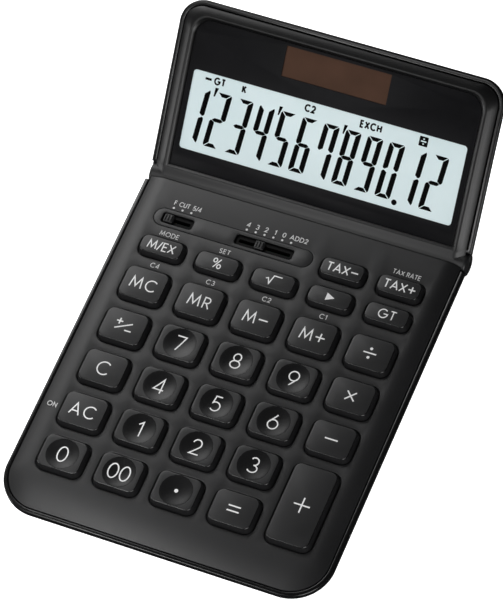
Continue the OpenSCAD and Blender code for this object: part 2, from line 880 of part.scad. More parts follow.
upper_housing();
lower_housing();
switch_bezel();
main_board();
controller_chip();
key_membrane();
battery_cell();
battery_contacts();
battery_door();
battery_door_screw();
housing_screws();
rubber_feet();
ribbon_base_end();
key_mode();
key_percent();
key_square_root();
key_backspace();
key_grand_total();
key_tax_minus();
key_tax_plus();
key_memory_clear();
key_memory_recall();
key_memory_minus();
key_memory_plus();
key_divide();
key_sign_change();
key_7();
key_8();
key_9();
key_multiply();
key_clear();
key_4();
key_5();
key_6();
key_minus();
key_all_clear();
key_1();
key_2();
key_3();
key_plus();
key_0();
key_00();
key_point();
key_equals();
rounding_switch_knob();
rounding_switch_wiper();
decimal_switch_knob();
decimal_switch_wiper();
display_frame();
display_back_cover();
display_lens();
lcd_panel();
lcd_connector_strip();
display_board();
solar_cell();
display_screws();
hinge_pins();
hinge_washers();
ribbon_display_end();
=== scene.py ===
"""Looks of the desk calculator: shells, keys, legends, display and studio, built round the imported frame."""
import json
import math

import bmesh
import bpy
from mathutils import Matrix, Vector
from mathutils.geometry import delaunay_2d_cdt


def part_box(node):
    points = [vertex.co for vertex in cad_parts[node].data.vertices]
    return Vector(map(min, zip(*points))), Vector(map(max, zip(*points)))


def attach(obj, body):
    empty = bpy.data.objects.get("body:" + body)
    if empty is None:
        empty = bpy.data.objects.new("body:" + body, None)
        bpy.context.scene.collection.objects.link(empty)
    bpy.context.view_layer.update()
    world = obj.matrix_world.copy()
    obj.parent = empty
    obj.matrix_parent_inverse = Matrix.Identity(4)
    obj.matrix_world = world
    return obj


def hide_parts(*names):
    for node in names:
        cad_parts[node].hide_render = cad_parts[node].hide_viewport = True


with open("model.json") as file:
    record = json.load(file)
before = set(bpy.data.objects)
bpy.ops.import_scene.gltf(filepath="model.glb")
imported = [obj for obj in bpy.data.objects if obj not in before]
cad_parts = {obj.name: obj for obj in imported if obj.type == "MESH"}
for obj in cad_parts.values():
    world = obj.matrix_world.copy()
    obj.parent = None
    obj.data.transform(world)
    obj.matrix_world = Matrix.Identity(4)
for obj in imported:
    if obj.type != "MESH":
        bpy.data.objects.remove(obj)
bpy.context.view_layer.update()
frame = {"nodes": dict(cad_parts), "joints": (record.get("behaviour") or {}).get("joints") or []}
MM = 0.001


# ---------- places, read from the frame, in millimetres ----------

def box_mm(node):
    lo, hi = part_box(node)
    return [v / MM for v in lo], [v / MM for v in hi]


def centre_mm(node):
    lo, hi = box_mm(node)
    return (lo[0] + hi[0]) / 2, (lo[1] + hi[1]) / 2


def joint(name):
    return next(j for j in frame["joints"] if j["name"] == name)


HINGE_Y, HINGE_Z = (v / MM for v in joint("display_hinge")["pos_m"][1:])
TRAY_LO, TRAY_HI = box_mm("lower_housing")
KEY_LO, KEY_HI = box_mm("key_7")
HALF = TRAY_HI[0]
FRONT_Y = TRAY_LO[1]
RIM_Z = TRAY_HI[2]
SHELL_Z = TRAY_LO[2]
DECK_Z = box_mm("upper_housing")[1][2]
REAR_Y = HINGE_Y - 2
DECK_REAR_Y = HINGE_Y - 2.9
KEY_TOP_Z = box_mm("key_clear")[1][2]
FLANGE_Z = DECK_Z - 1.85
CORNER_R = 13.5
RIM_W = 1.75
RIM_ROUND = 0.42
TILT_DEG = 42
DISPLAY_LEN = 58.7
DISPLAY_R = 8
DISPLAY = Matrix.Translation((0, HINGE_Y, HINGE_Z)) @ Matrix.Rotation(math.radians(TILT_DEG), 4, "X")
BARREL_R = 3.8
ARM_X = 33


# ---------- materials ----------

def new_material(name, color, roughness, specular=0.5):
    mat = bpy.data.materials.new(name)
    mat.use_nodes = True
    tree = mat.node_tree
    shader = tree.nodes["Principled BSDF"]
    shader.inputs["Base Color"].default_value = (*color, 1)
    shader.inputs["Roughness"].default_value = roughness
    shader.inputs["Specular IOR Level"].default_value = specular
    coords = tree.nodes.new("ShaderNodeTexCoord")
    return mat, tree, shader, coords.outputs["Object"]


def noise(tree, where, scale, detail=2.0):
    node = tree.nodes.new("ShaderNodeTexNoise")
    node.inputs["Scale"].default_value = scale
    node.inputs["Detail"].default_value = detail
    tree.links.new(where, node.inputs["Vector"])
    return node.outputs["Fac"]


NOISE_LOW, NOISE_HIGH = 0.3, 0.7


def ramp(tree, factor, low, high):
    node = tree.nodes.new("ShaderNodeValToRGB")
    node.color_ramp.elements[0].position = NOISE_LOW
    node.color_ramp.elements[1].position = NOISE_HIGH
    node.color_ramp.elements[0].color = (*low, 1)
    node.color_ramp.elements[1].color = (*high, 1)
    tree.links.new(factor, node.inputs["Fac"])
    return node.outputs["Color"]


def spread(tree, factor, low, high):
    node = tree.nodes.new("ShaderNodeMapRange")
    node.inputs["From Min"].default_value = NOISE_LOW
    node.inputs["From Max"].default_value = NOISE_HIGH
    node.inputs["To Min"].default_value = low
    node.inputs["To Max"].default_value = high
    tree.links.new(factor, node.inputs["Value"])
    return node.outputs["Result"]


def bump(tree, shader, height, distance_mm):
    node = tree.nodes.new("ShaderNodeBump")
    node.inputs["Strength"].default_value = 1
    node.inputs["Distance"].default_value = distance_mm * MM
    tree.links.new(height, node.inputs["Height"])
    tree.links.new(node.outputs["Normal"], shader.inputs["Normal"])


def plastic(name, dark, light, rough_low, rough_high, grain, depth, specular=0.5, cloud=60):
    """Moulded plastic: a slow drift of colour, a fine grain in the relief and in the roughness."""
    mat, tree, shader, where = new_material(name, dark, rough_low, specular)
    slow = noise(tree, where, cloud, 3)
    fine = noise(tree, where, grain, 3)
    tree.links.new(ramp(tree, slow, dark, light), shader.inputs["Base Color"])
    tree.links.new(spread(tree, fine, rough_low, rough_high), shader.inputs["Roughness"])
    if depth:
        bump(tree, shader, fine, depth)
    return mat


def grey(v, blue=1.06):
    return (v, v, v * blue)


def metal(name, color, roughness, grain):
    light = tuple(min(1, c * 1.12) for c in color)
    mat = plastic(name, color, light, roughness, roughness + 0.12, grain, 0.003)
    mat.node_tree.nodes["Principled BSDF"].inputs["Metallic"].default_value = 1
    return mat


MATTE = plastic("matte_black", grey(0.009), grey(0.012), 0.37, 0.43, 9000, 0.010)
KEY = plastic("key_black", grey(0.009), grey(0.012), 0.37, 0.43, 8000, 0.008)
FRAME = plastic("frame_black", grey(0.004), grey(0.006), 0.30, 0.36, 5000, 0.004, specular=0.4)
DISH = plastic("key_dish_black", grey(0.005), grey(0.007), 0.22, 0.27, 6000, 0.002, specular=0.35)
GLOSS = plastic("gloss_black", grey(0.003), grey(0.005), 0.16, 0.22, 900, 0.001, specular=0.5)
KEY_EDGE = plastic("key_edge_black", grey(0.006), grey(0.008), 0.2, 0.26, 6000, 0.002)
# Painted shade: the switch slots' walls, floor and stem tunnel are the plate's plastic, coloured near-black
# to stand in for the shade inside the recess.
SLOT_SHADE = plastic("slot_painted_shade", grey(0.001), grey(0.002), 0.5, 0.58, 6000, 0.004, specular=0.12)
LENS = plastic("lens_black", grey(0.004, 1.2), grey(0.006, 1.2), 0.36, 0.42, 500, 0, specular=0.1)
INK = plastic("legend_ink", grey(0.80, 1), grey(0.90, 1), 0.5, 0.6, 6000, 0.004)
SMALL_INK = plastic("deck_ink", grey(0.66, 1), grey(0.76, 1), 0.5, 0.6, 6000, 0.004)
LCD = plastic("lcd_glass", (0.72, 0.86, 0.88), (0.78, 0.91, 0.93), 0.3, 0.38, 3000, 0.002)
SEGMENT = plastic("lcd_segment", grey(0.001, 1), grey(0.003, 1), 0.5, 0.6, 3000, 0, specular=0.03)
SOLAR = plastic("solar_glass", (0.060, 0.029, 0.017), (0.078, 0.038, 0.023), 0.36, 0.42, 1500, 0,
                specular=0.08, cloud=110)
BOARD = plastic("board_green", (0.01, 0.09, 0.04), (0.02, 0.14, 0.07), 0.4, 0.5, 2500, 0.01)
RESIN = plastic("chip_resin", grey(0.02), grey(0.03), 0.5, 0.6, 5000, 0.01)
SILICONE = plastic("silicone", (0.55, 0.57, 0.55), (0.66, 0.68, 0.66), 0.45, 0.6, 1500, 0.01)
RUBBER = plastic("rubber", grey(0.012), grey(0.022), 0.75, 0.9, 3500, 0.03)
RIBBON = plastic("ribbon_film", (0.45, 0.16, 0.03), (0.58, 0.24, 0.05), 0.3, 0.4, 1200, 0.002)
STEEL = metal("steel", (0.45, 0.46, 0.48), 0.28, 2500)
CELL = metal("cell_steel", (0.6, 0.6, 0.6), 0.2, 1500)
CONTACT = metal("contact_metal", (0.75, 0.52, 0.2), 0.25, 1500)


# ---------- building meshes, in millimetres ----------

class Shape:
    """Points and faces of one piece, gathered before they become a mesh.

    A face's mark is its place in the piece's list of materials; strokes counts the printed lines.
    """

    def __init__(self):
        self.points, self.faces, self.marks = [], [], []
        self.strokes = 0

    def add(self, points):
        first = len(self.points)
        self.points.extend(tuple(p) for p in points)
        return list(range(first, len(self.points)))

    def face(self, ids, mark=0):
        self.faces.append(list(ids))
        self.marks.append(mark)

    def strip(self, a, b, closed=True, mark=0):
        count = len(a)
        for i in range(count if closed else count - 1):
            j = (i + 1) % count
            self.face((a[i], a[j], b[j], b[i]), mark)

    def fan(self, ring, centre, mark=0):
        middle = self.add([centre])[0]
        for i, p in enumerate(ring):
            self.face((p, ring[(i + 1) % len(ring)], middle), mark)

    def loft(self, rings, closed=True, mark=0):
        """Joins rings of equal length one after the other and returns their indices."""
        ids = [self.add(r) for r in rings]
        for a, b in zip(ids, ids[1:]):
            self.strip(a, b, closed, mark)
        return ids

    def solid(self, rings, mark=0):
        """A closed piece: the rings, with a flat end on the first and the last."""
        ids = self.loft(rings, mark=mark)
        for ring in (ids[0], ids[-1]):
            self.face(ring, mark)
        return ids

    def merge(self, other):
        first = len(self.points)
        self.points.extend(other.points)
        self.faces.extend([i + first for i in f] for f in other.faces)
        self.marks.extend(other.marks)


def to_mesh(shape, name, place=None):
    mesh = bpy.data.meshes.new(name)
    mesh.from_pydata([Vector(p) * MM for p in shape.points], [], shape.faces)
    for polygon, mark in zip(mesh.polygons, shape.marks):
        polygon.material_index = mark
    bm = bmesh.new()
    bm.from_mesh(mesh)
    bmesh.ops.remove_doubles(bm, verts=bm.verts, dist=2e-7)
    bmesh.ops.recalc_face_normals(bm, faces=bm.faces)
    bm.to_mesh(mesh)
    bm.free()
    if place is not None:
        mesh.transform(Matrix.Scale(MM, 4) @ place @ Matrix.Scale(1 / MM, 4))
    return mesh


def finish_mesh(mesh, sharp=32):
    mesh.polygons.foreach_set("use_smooth", [True] * len(mesh.polygons))
    mesh.set_sharp_from_angle(angle=math.radians(sharp))


def piece(name, shape, body, materials, replaces=(), place=None, cutter=None, sharp=32):
    """Makes the object, cuts it if asked, ties it to its CAD body and hides the CAD nodes it replaces."""
    obj = bpy.data.objects.new(name, to_mesh(shape, name, place))
    bpy.context.scene.collection.objects.link(obj)
    for mat in materials:
        obj.data.materials.append(mat)
    if cutter is not None:
        cut(obj, cutter, place)
    finish_mesh(obj.data, sharp)
    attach(obj, body)
    if replaces:
        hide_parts(*replaces)
    return obj


def cut(obj, cutter, place):
    tool = bpy.data.objects.new("cutter", to_mesh(cutter, "cutter", place))
    bpy.context.scene.collection.objects.link(tool)
    modifier = obj.modifiers.new("cut", "BOOLEAN")
    modifier.operation = "DIFFERENCE"
    modifier.solver = "EXACT"
    modifier.use_self = True
    modifier.object = tool
    bpy.context.view_layer.update()
    result = bpy.data.meshes.new_from_object(obj.evaluated_get(bpy.context.evaluated_depsgraph_get()))
    obj.modifiers.clear()
    obj.data = result
    bpy.data.objects.remove(tool)


# ---------- outlines ----------

def rounded_ring(w, d, r, z, at=(0, 0), corner=8, side=4):
    """Rounded rectangle as a ring of points, anticlockwise."""
    ends = []
    for k, (sx, sy) in enumerate(((1, 1), (-1, 1), (-1, -1), (1, -1))):
        cx, cy = at[0] + sx * (w / 2 - r), at[1] + sy * (d / 2 - r)
        arc = [math.radians(90 * k + 90 * i / corner) for i in range(corner + 1)]
        ends.append([(cx + r * math.cos(a), cy + r * math.sin(a), z) for a in arc])
    ring = []
    for k in range(4):
        a, b = ends[k][-1], ends[(k + 1) % 4][0]
        ring += ends[k]
        for i in range(1, side):
            t = i / side
            ring.append((a[0] + t * (b[0] - a[0]), a[1] + t * (b[1] - a[1]), z))
    return ring


def circle_ring(r, z, at=(0, 0), count=48):
    turn = [2 * math.pi * i / count for i in range(count)]
    return [(at[0] + r * math.cos(a), at[1] + r * math.sin(a), z) for a in turn]


def tongue_ring(half, y_end, r, inset, y_square, corner=24, side=14, top=28):
    """Open outline: up the left side from the square end, round the far end, down the right side."""
    h, sign = half - inset, 1 if y_end > y_square else -1
    y_far = y_end - sign * inset
    radius = max(r - inset, 0.05)
    y_turn = y_far - sign * radius
    left = [(-h, y_square + (y_turn - y_square) * i / side) for i in range(side)]
    for i in range(corner + 1):
        a = math.radians(180 - 90 * i / corner)
        left.append((-h + radius + radius * math.cos(a), y_turn + sign * radius * math.sin(a)))
    x_turn = h - radius
    across = [(-x_turn + 2 * x_turn * i / top, y_far) for i in range(1, top)]
    return left + across + [(-x, y) for x, y in reversed(left)]


def at_height(ring, z):
    return [(x, y, z) for x, y in ring]


def mix_rings(a, b, t):
    return [(p[0] + (q[0] - p[0]) * t, p[1] + (q[1] - p[1]) * t) for p, q in zip(a, b)]


def inside(x, y, ring):
    hit = False
    for i, p in enumerate(ring):
        q = ring[i - 1]
        if (p[1] > y) != (q[1] > y) and x < (q[0] - p[0]) * (y - p[1]) / (q[1] - p[1]) + p[0]:
            hit = not hit
    return hit


def flat_between(shape, outer, holes, mark=0):
    """Fills a flat region between an outer ring and hole rings, all given as indices."""
    rings = [outer, *holes]
    ids = [i for ring in rings for i in ring]
    points = [Vector(shape.points[i][:2]) for i in ids]
    edges, start = [], 0
    for ring in rings:
        count = len(ring)
        edges += [(start + i, start + (i + 1) % count) for i in range(count)]
        start += count
    out, _, faces, origin, _, _ = delaunay_2d_cdt(points, edges, [], 0, 1e-6)
    hole_rings = [[shape.points[i] for i in h] for h in holes]
    outer_ring = [shape.points[i] for i in outer]
    for f in faces:
        x = sum(out[i][0] for i in f) / len(f)
        y = sum(out[i][1] for i in f) / len(f)
        if inside(x, y, outer_ring) and not any(inside(x, y, h) for h in hole_rings):
            shape.face([ids[origin[i][0]] for i in f], mark)


def fillet(steps, radius):
    """Quarter round as (way in, way down) pairs, from the flat to the wall."""
    turn = [math.pi / 2 * i / steps for i in range(steps + 1)]
    return [(radius * (1 - math.sin(a)), radius * (1 - math.cos(a))) for a in turn]


# ---------- the deck ----------

KEYS = {n: centre_mm(n) for n in frame["nodes"] if n.startswith("key_") and n != "key_membrane"}
NUMBERS = {"key_" + s for s in ("0", "1", "2", "3", "4", "5", "6", "7", "8", "9", "00", "point")}
FLANGE = 0.6
SLOPE_Z = RIM_Z + 0.2
SLOPE_STEPS = 14
SLOPE_POWER = 1.9
SLOPE_SIDE, SLOPE_FRONT, FLAT_CORNER_R = 7.4, 13, 3.6
DECK_T = 1.2
EDGE_R = 0.45
GAP = 0.25
REAR_STEPS = 30


def key_size(node):
    lo, hi = box_mm(node)
    return hi[0] - lo[0] - 2 * FLANGE, hi[1] - lo[1] - 2 * FLANGE


def slope_height(s):
    """Height above the outer edge at share s of the way in to the flat deck."""
    return SLOPE_Z + (DECK_Z - SLOPE_Z) * (1 - (1 - s) ** SLOPE_POWER)


def bezel_outline(grow, corner=12, side=24):
    lo, hi = box_mm("switch_bezel")
    x0, x1, d = lo[0] + 0.8, hi[0] - 0.8, hi[1] - lo[1] - 1.6
    at = ((x0 + x1) / 2, (lo[1] + hi[1]) / 2)
    w, h = x1 - x0 + 2 * grow, d + 2 * grow
    return [(x, y) for x, y, _ in rounded_ring(w, h, h / 2 - 0.001, 0, at, corner, side)]


def build_deck():
    shape = Shape()
    outer = tongue_ring(HALF, FRONT_Y, CORNER_R, RIM_W, DECK_REAR_Y)
    inner = tongue_ring(HALF - SLOPE_SIDE, FRONT_Y + SLOPE_FRONT, FLAT_CORNER_R, 0, DECK_REAR_Y)
    rows = []
    for k in range(SLOPE_STEPS + 1):
        s = k / SLOPE_STEPS
        rows.append(shape.add(at_height(mix_rings(outer, inner, s), slope_height(s))))
    for a, b in zip(rows, rows[1:]):
        shape.strip(a, b, closed=False)
    left, right = shape.points[rows[-1][0]][0], shape.points[rows[-1][-1]][0]
    rear = shape.add([(right + (left - right) * i / REAR_STEPS, DECK_REAR_Y, DECK_Z)
                      for i in range(1, REAR_STEPS)])
    holes = []
    for node, at in sorted(KEYS.items()):
        w, d = key_size(node)
        r = key_foot_r(d)
        holes.append(hole_edge(shape, lambda g, z: rounded_ring(w + 2 * g, d + 2 * g, r + g, z, at), GAP))
    holes.append(hole_edge(shape, lambda g, z: at_height(bezel_outline(g), z), 0.06, 0.12))
    flat_between(shape, rows[-1] + rear, holes)
    thicken(shape, DECK_T)
    for x, y in housing_bosses():
        shape.merge(lathe([(0.8, 2.7), (0.8, 6.9), (1.9, 6.9), (1.9, 2.7)], (x, y)))
    return shape


def hole_edge(shape, ring_at, gap, radius=EDGE_R):
    """Rounded lip of an opening; returns the ring where it meets the flat deck."""
    rings = [ring_at(gap + way_in, DECK_Z - down) for way_in, down in fillet(5, radius)]
    ids = shape.loft(list(reversed(rings)))
    return ids[-1]


def thicken(shape, t):
    """Turns an open skin into a closed shell: a copy t lower, and walls along every free edge."""
    count = len(shape.points)
    use = {}
    for f in shape.faces:
        for i, p in enumerate(f):
            q = f[(i + 1) % len(f)]
            key = (min(p, q), max(p, q))
            use[key] = use.get(key, 0) + 1
    shape.points += [(x, y, z - t) for x, y, z in shape.points]
    top = list(shape.faces)
    for f in top:
        shape.face([i + count for i in f])
    for (p, q), n in use.items():
        if n == 1:
            shape.face((p, q, q + count, p + count))


def lathe(profile, at, count=32):
    """Closed ring swept from a closed (radius, z) section."""
    shape = Shape()
    rings = [circle_ring(r, z, at, count) for r, z in profile]
    shape.loft(rings + rings[:1])
    return shape


def housing_bosses():
    """Places of the six screw posts that tie the two housings together."""
    x = 1.5 * (KEYS["key_9"][0] - KEYS["key_8"][0])
    key_row = KEYS["key_0"][1]
    pitch = KEYS["key_4"][1] - KEYS["key_1"][1]
    return [(s * x, y) for y in (key_row - 12.5, key_row + 3.5 * pitch, HINGE_Y - 8.5) for s in (-1, 1)]


# ---------- keys ----------

DISH_R = 5.25
DISH_DEPTH = 0.36
DISH_RINGS = 13
KEY_EDGE_R = 0.26
KEY_EDGE_STEPS = 4
LOW_KEY_D = 9


def dish_drop(r):
    u = min(r / DISH_R, 1)
    return DISH_DEPTH * (1 - u * u) ** 1.25


def key_foot_r(d):
    return 2.5 if d < LOW_KEY_D else 2.8


def key_rings(w, d, bevel):
    """Rings of a key from its hollow, under and round the flange, and up to the flat top."""
    z0, z1 = FLANGE_Z, DECK_Z - 1.25
    foot_r, top_r = key_foot_r(d), key_foot_r(d) - 0.55

    def ring(inset, z, r):
        return rounded_ring(w - 2 * inset, d - 2 * inset, max(r, 0.3), z)

    rings = [ring(1.2, DECK_Z + 0.6, 1.8), ring(1.2, z0, 1.8), ring(-FLANGE, z0, foot_r),
             ring(-FLANGE, z1, foot_r), ring(0, z1, foot_r), ring(0, DECK_Z, foot_r)]
    shoulder = KEY_TOP_Z - KEY_EDGE_R
    rings.append(ring(bevel, shoulder, top_r + 0.1))
    for k in range(1, KEY_EDGE_STEPS + 1):
        a = math.pi / 2 * k / KEY_EDGE_STEPS
        way_in = KEY_EDGE_R * (1 - math.cos(a))
        rings.append(ring(bevel + way_in, shoulder + KEY_EDGE_R * math.sin(a), top_r - way_in))
    return rings


def build_key(w, d, dished):
    """A key about its own centre; marks: 0 body, 1 dish, 2 rounded edge of the top."""
    shape = Shape()
    bevel = 0.6 if d < LOW_KEY_D else 0.55
    rings = key_rings(w, d, bevel)
    ids = shape.loft(rings)
    edge_faces = KEY_EDGE_STEPS * len(rings[0])
    shape.marks[-edge_faces:] = [2] * edge_faces
    shape.face(ids[0])
    if not dished:
        shape.face(ids[-1])
        return shape
    last = [shape.points[i] for i in ids[-1]]
    rings = [[mix_to_dish(p, t) for p in last] for t in (0.5, 1)]
    for k in range(1, DISH_RINGS):
        r = DISH_R * (1 - k / DISH_RINGS)
        z = KEY_TOP_Z - dish_drop(r)
        rings.append([(p[0] * r / math.hypot(*p[:2]), p[1] * r / math.hypot(*p[:2]), z) for p in last])
    previous = ids[-1]
    for k, ring in enumerate(rings):
        now = shape.add(ring)
        shape.strip(previous, now, mark=1 if k > 1 else 0)
        previous = now
    shape.fan(previous, (0, 0, KEY_TOP_Z - DISH_DEPTH), mark=1)
    return shape


def mix_to_dish(p, t):
    """Point at share t of the way from p on the key's edge to the dish's rim."""
    r = math.hypot(p[0], p[1])
    q = (p[0] * DISH_R / r, p[1] * DISH_R / r)
    return p[0] + (q[0] - p[0]) * t, p[1] + (q[1] - p[1]) * t, KEY_TOP_Z


def plunger():
    """Post under a key that presses the membrane."""
    top = DECK_Z + 0.65
    return lathe([(0.02, 6.4), (0.85, 6.4), (1, 6.55), (1, top), (0.02, top)], (0, 0), 24)


# ---------- printed strokes ----------

def arc(cx, cy, rx, ry, start, end, step=11):
    count = max(2, round(abs(end - start) / step))
    turn = [math.radians(start + (end - start) * i / count) for i in range(count + 1)]
    return [(cx + rx * math.cos(a), cy + ry * math.sin(a)) for a in turn]


def oval(cx, cy, rx, ry):
    return arc(cx, cy, rx, ry, 0, 360)


GLYPHS = {
    "0": (0.62, [oval(0.31, 0.5, 0.31, 0.5)]),
    "1": (0.30, [[(0.0, 0.80), (0.26, 1.0), (0.26, 0.0)]]),
    "2": (0.60, [arc(0.29, 0.71, 0.28, 0.29, 168, -38) + [(0.0, 0.0), (0.60, 0.0)]]),
    "3": (0.60, [arc(0.28, 0.75, 0.25, 0.25, 150, -90), arc(0.28, 0.25, 0.31, 0.25, 90, -152)]),
    "4": (0.66, [[(0.50, 0.0), (0.50, 1.0), (0.0, 0.25), (0.66, 0.25)]]),
    "5": (0.60, [[(0.54, 1.0), (0.14, 1.0), (0.07, 0.53)] + arc(0.28, 0.31, 0.31, 0.31, 118, -142)]),
    "6": (0.64, [oval(0.32, 0.32, 0.32, 0.32), [(0.44, 1.0), (0.05, 0.46)]]),
    "7": (0.60, [[(0.0, 1.0), (0.60, 1.0), (0.17, 0.0)]]),
    "8": (0.62, [oval(0.31, 0.75, 0.24, 0.25), oval(0.31, 0.26, 0.31, 0.26)]),
    "9": (0.64, [oval(0.32, 0.68, 0.32, 0.32), [(0.20, 0.0), (0.59, 0.54)]]),
    "A": (0.80, [[(0.0, 0.0), (0.40, 1.0), (0.80, 0.0)], [(0.14, 0.32), (0.66, 0.32)]]),
    "C": (0.90, [arc(0.5, 0.5, 0.5, 0.5, 44, 316)]),
    "D": (0.76, [[(0.0, 0.0), (0.0, 1.0)] + arc(0.30, 0.5, 0.46, 0.5, 90, -90) + [(0.0, 0.0)]]),
    "E": (0.50, [[(0.50, 1.0), (0.0, 1.0), (0.0, 0.0), (0.50, 0.0)], [(0.0, 0.52), (0.46, 0.52)]]),
    "F": (0.48, [[(0.48, 1.0), (0.0, 1.0), (0.0, 0.0)], [(0.0, 0.52), (0.44, 0.52)]]),
    "G": (0.98, [arc(0.5, 0.5, 0.5, 0.5, 46, 358) + [(0.56, 0.48)]]),
    "H": (0.68, [[(0.0, 0.0), (0.0, 1.0)], [(0.68, 0.0), (0.68, 1.0)], [(0.0, 0.52), (0.68, 0.52)]]),
    "K": (0.60, [[(0.0, 0.0), (0.0, 1.0)], [(0.56, 1.0), (0.0, 0.42)], [(0.20, 0.62), (0.60, 0.0)]]),
    "M": (0.98, [[(0.0, 0.0), (0.13, 1.0), (0.49, 0.16), (0.85, 1.0), (0.98, 0.0)]]),
    "N": (0.70, [[(0.0, 0.0), (0.0, 1.0), (0.70, 0.0), (0.70, 1.0)]]),
    "O": (1.00, [oval(0.5, 0.5, 0.5, 0.5)]),
    "R": (0.54, [[(0.0, 0.0), (0.0, 1.0)] + arc(0.24, 0.74, 0.27, 0.26, 90, -90) + [(0.0, 0.48)],
                 [(0.24, 0.48), (0.54, 0.0)]]),
    "S": (0.54, [arc(0.27, 0.75, 0.24, 0.25, 38, 270) + arc(0.27, 0.25, 0.27, 0.25, 80, -142)]),
    "T": (0.62, [[(0.0, 1.0), (0.62, 1.0)], [(0.31, 1.0), (0.31, 0.0)]]),
    "U": (0.66, [[(0.0, 1.0), (0.0, 0.33)] + arc(0.33, 0.33, 0.33, 0.33, 180, 360) + [(0.66, 1.0)]]),
    "X": (0.70, [[(0.0, 0.0), (0.70, 1.0)], [(0.0, 1.0), (0.70, 0.0)]]),
    "/": (0.36, [[(0.0, -0.06), (0.36, 1.06)]]),
    "%": (0.86, [[(0.16, 0.0), (0.70, 1.0)], oval(0.17, 0.79, 0.17, 0.21), oval(0.69, 0.21, 0.17, 0.21)]),
    "-": (0.80, [[(0.0, 0.5), (0.80, 0.5)]]),
    "+": (0.80, [[(0.0, 0.5), (0.80, 0.5)], [(0.40, 0.1), (0.40, 0.9)]]),
    " ": (0.20, []),
}


def thin_out(points, longest=0.7):
    """Adds points so that no step is longer than a limit, for strokes laid on a dished top."""
    out = [points[0]]
    for a, b in zip(points, points[1:]):
        n = max(1, math.ceil(math.dist(a, b) / longest))
        out += [(a[0] + (b[0] - a[0]) * i / n, a[1] + (b[1] - a[1]) * i / n) for i in range(1, n + 1)]
    return out


def sides_of(points, width, closed):
    """Left and right edges of a line of the given width, mitred at its corners."""
    n, left, right = len(points), [], []
    for i, p in enumerate(points):
        a = points[i - 1] if (i or closed) else None
        b = points[(i + 1) % n] if (i < n - 1 or closed) else None
        d1 = Vector((p[0] - a[0], p[1] - a[1])).normalized() if a else None
        d2 = Vector((b[0] - p[0], b[1] - p[1])).normalized() if b else None
        d1, d2 = d1 or d2, d2 or d1
        mid = d1 + d2
        mid = mid.normalized() if mid.length > 1e-6 else d1
        side = Vector((-mid.y, mid.x))
        grow = width / 2 / max(0.38, abs(side.dot(Vector((-d1.y, d1.x)))))
        left.append((p[0] + side.x * grow, p[1] + side.y * grow))
        right.append((p[0] - side.x * grow, p[1] - side.y * grow))
    return left, right


INK_LIFT = 0.02
INK_SINK = 0.06
STROKE_STEP = 0.006


def print_line(shape, points, width, height_at):
    """A line of ink; lines that cross lie at slightly different heights, so no two faces coincide."""
    closed = math.dist(points[0], points[-1]) < 1e-6
    points = thin_out(points)
    points = points[:-1] if closed else points
    left, right = sides_of(points, width, closed)

    def ring(edge, lift):
        return shape.add([(x, y, height_at(x, y) + lift) for x, y in edge])

    shape.strokes += 1
    lift = INK_LIFT + STROKE_STEP * (shape.strokes % 3)
    tl, tr = ring(left, lift), ring(right, lift)
    bl, br = ring(left, -INK_SINK), ring(right, -INK_SINK)
    for a, b in ((tl, tr), (tr, br), (br, bl), (bl, tl)):
        shape.strip(a, b, closed)
    if not closed:
        for i in (0, -1):
            shape.face((tl[i], tr[i], br[i], bl[i]))


def print_patch(shape, outline, height_at):
    top = shape.add([(x, y, height_at(x, y) + INK_LIFT) for x, y in outline])
    low = shape.add([(x, y, height_at(x, y) - INK_SINK) for x, y in outline])
    shape.strip(top, low)
    shape.face(top)
    shape.face(low)


def text_width(text, height, gap):
    return sum(GLYPHS[c][0] * height for c in text) + gap * (len(text) - 1)


def print_text(shape, text, at, height, stroke, height_at, gap=None, narrow=1.0):
    """Draws text centred on a place; height is over the outside of the strokes."""
    body = height - stroke
    gap = 0.22 * height if gap is None else gap
    x = at[0] - narrow * text_width(text, body, gap + stroke) / 2
    for c in text:
        width, strokes = GLYPHS[c]
        for s in strokes:
            line = [(x + narrow * px * body, at[1] + (py - 0.5) * body) for px, py in s]
            print_line(shape, line, stroke, height_at)
        x += narrow * (width * body + gap + stroke)


# ---------- key legends ----------

STROKE = 0.42
THIN = 0.38
SIGN = 0.46


def minus_sign(shape, x, y, half, z_at, stroke=SIGN):
    print_line(shape, [(x - half, y), (x + half, y)], stroke, z_at)


def plus_sign(shape, x, y, half, z_at, stroke=SIGN):
    minus_sign(shape, x, y, half, z_at, stroke)
    print_line(shape, [(x, y - half), (x, y + half)], stroke, z_at)


def dot(shape, x, y, r, z_at):
    print_patch(shape, arc(x, y, r, r, 0, 348, 12), z_at)


def word_and_sign(text, sign, height, half, spread_out=0.2, space=1.0):
    """Legend of a word and a sign side by side, centred together."""
    def draw(shape, z_at):
        gap = spread_out * height
        word = text_width(text, height - STROKE, gap + STROKE) + STROKE
        total = word + space + 2 * half
        print_text(shape, text, (-total / 2 + word / 2, 0), height, STROKE, z_at, gap)
        sign(shape, total / 2 - half, 0, half, z_at)
    return draw


def sign_change(shape, z_at):
    print_line(shape, [(-2.6, -1.35), (2.6, 1.35)], STROKE, z_at)
    plus_sign(shape, -1.75, 1.35, 1.05, z_at)
    minus_sign(shape, 1.9, -1.35, 1.1, z_at)


def divide_sign(shape, z_at):
    minus_sign(shape, 0, 0, 2.1, z_at)
    dot(shape, 0, 1.55, 0.48, z_at)
    dot(shape, 0, -1.55, 0.48, z_at)


def multiply_sign(shape, z_at):
    print_line(shape, [(-1.5, -1.5), (1.5, 1.5)], SIGN, z_at)
    print_line(shape, [(-1.5, 1.5), (1.5, -1.5)], SIGN, z_at)


def equals_sign(shape, z_at):
    minus_sign(shape, 0, 0.85, 2.0, z_at)
    minus_sign(shape, 0, -0.85, 2.0, z_at)


def root_sign(shape, z_at):
    line = [(-2.5, 0.1), (-1.8, 0.4), (-1.0, -1.5), (-0.2, 1.55), (2.5, 1.55)]
    print_line(shape, line, THIN, z_at)


def arrow_sign(shape, z_at):
    print_patch(shape, [(-1.25, 1.35), (-1.25, -1.35), (1.55, 0)], z_at)


